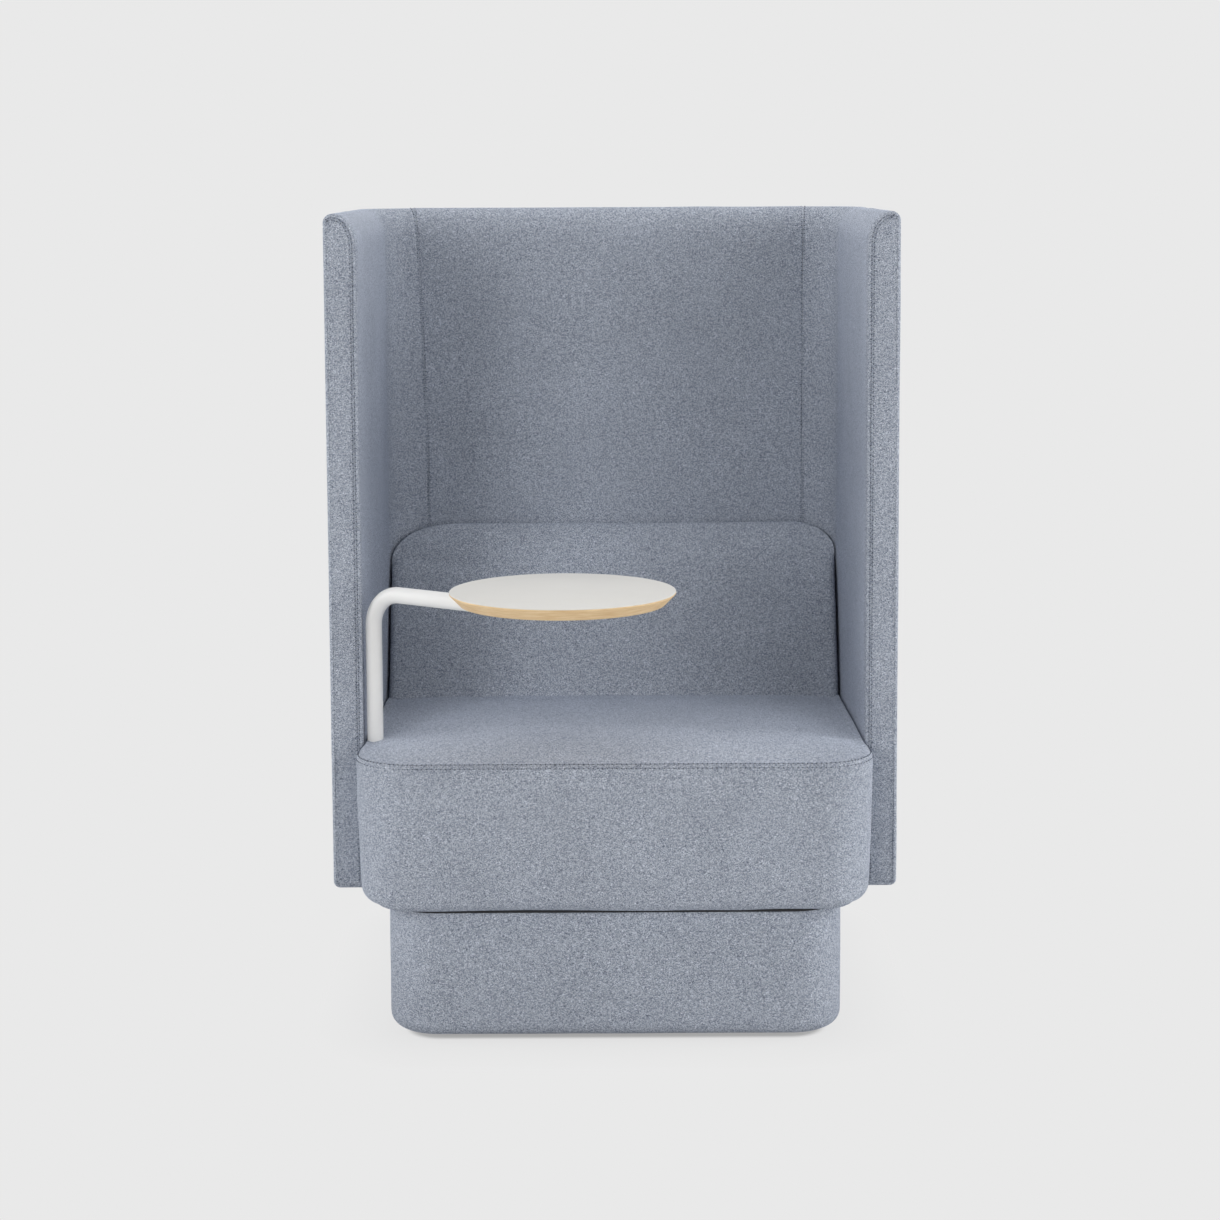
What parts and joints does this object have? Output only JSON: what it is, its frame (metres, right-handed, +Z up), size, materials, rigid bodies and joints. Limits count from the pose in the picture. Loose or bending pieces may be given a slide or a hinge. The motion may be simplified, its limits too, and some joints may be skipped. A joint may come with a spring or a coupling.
{
  "type": "acoustic high back lounge chair with swivel writing tablet",
  "caption": "Upholstered lounge chair with tall wrap-around back and wings, block seat, lumbar cushion, recessed plinth and a round writing tablet on a swivel arm.",
  "frame": {"origin": "on the floor, under the centre of the bounding box of chair and tablet", "axes": "+Z up, -Y out of the front of the seat, +X to the right as seen from the front"},
  "size_m": [0.87, 0.9632, 1.245],
  "materials": {
    "wool": "matte",
    "foam": "matte",
    "webbing": "matte",
    "lining": "matte",
    "pine": "matte",
    "plywood": "matte",
    "birch_edge": "satin",
    "laminate": "satin",
    "nylon": "matte",
    "black_plastic": "matte",
    "white_steel": "satin",
    "plain_steel": "satin"
  },
  "bodies": {
    "chair": {"plinth_front_rail": "pine", "plinth_rear_rail": "pine", "plinth_left_rail": "pine", "plinth_right_rail": "pine", "seat_front_rail": "pine", "seat_rear_rail": "pine", "seat_left_rail": "pine", "seat_right_rail": "pine", "plinth_corner_block_front_left": "pine", "plinth_corner_block_front_right": "pine", "plinth_corner_block_rear_left": "pine", "plinth_corner_block_rear_right": "pine", "wing_board_left": "plywood", "wing_board_right": "plywood", "corner_board_left": "plywood", "corner_board_right": "plywood", "back_board": "plywood", "lumbar_board": "plywood", "plinth_cover": "wool", "seat_cover_top": "wool", "seat_cover_band": "wool", "inner_cover_left": "wool", "inner_cover_right": "wool", "inner_cover_back": "wool", "front_strip_left": "wool", "front_strip_right": "wool", "outer_cover_left": "wool", "outer_cover_right": "wool", "outer_cover_back": "wool", "lumbar_cover": "wool", "seat_foam": "foam", "wing_foam_left": "foam", "wing_foam_right": "foam", "back_foam": "foam", "lumbar_foam": "foam", "seat_webbing_long_1": "webbing", "seat_webbing_long_2": "webbing", "seat_webbing_long_3": "webbing", "seat_webbing_cross_1": "webbing", "seat_webbing_cross_2": "webbing", "dust_cover": "lining", "arm_bush_upper": "nylon", "arm_bush_lower": "nylon", "arm_socket": "plain_steel", "glide_insert_front_left": "plain_steel", "glide_insert_front_right": "plain_steel", "glide_insert_rear_left": "plain_steel", "glide_insert_rear_right": "plain_steel"},
    "tablet": {"tablet_laminate": "laminate", "tablet_board": "birch_edge", "tablet_arm": "white_steel", "arm_end_plug": "black_plastic", "tablet_screw_1": "plain_steel", "tablet_screw_2": "plain_steel", "tablet_screw_3": "plain_steel", "tablet_screw_4": "plain_steel"},
    "glide_front_left": {"glide_front_left": "black_plastic"},
    "glide_front_right": {"glide_front_right": "black_plastic"},
    "glide_rear_left": {"glide_rear_left": "black_plastic"},
    "glide_rear_right": {"glide_rear_right": "black_plastic"}
  },
  "joints": [
    {"name": "table_swivel", "type": "hinge", "parent": "chair", "child": "tablet", "pos_m": [-0.368, -0.11544, 0.45], "axis": [0, 0, 1], "range_deg": [-60, 80]},
    {"name": "glide_screw_front_left", "type": "slide", "parent": "chair", "child": "glide_front_left", "axis": [0, 0, 1], "range_m": [-0.01, 0]},
    {"name": "glide_screw_front_right", "type": "slide", "parent": "chair", "child": "glide_front_right", "axis": [0, 0, 1], "range_m": [-0.01, 0]},
    {"name": "glide_screw_rear_left", "type": "slide", "parent": "chair", "child": "glide_rear_left", "axis": [0, 0, 1], "range_m": [-0.01, 0]},
    {"name": "glide_screw_rear_right", "type": "slide", "parent": "chair", "child": "glide_rear_right", "axis": [0, 0, 1], "range_m": [-0.01, 0]}
  ]
}
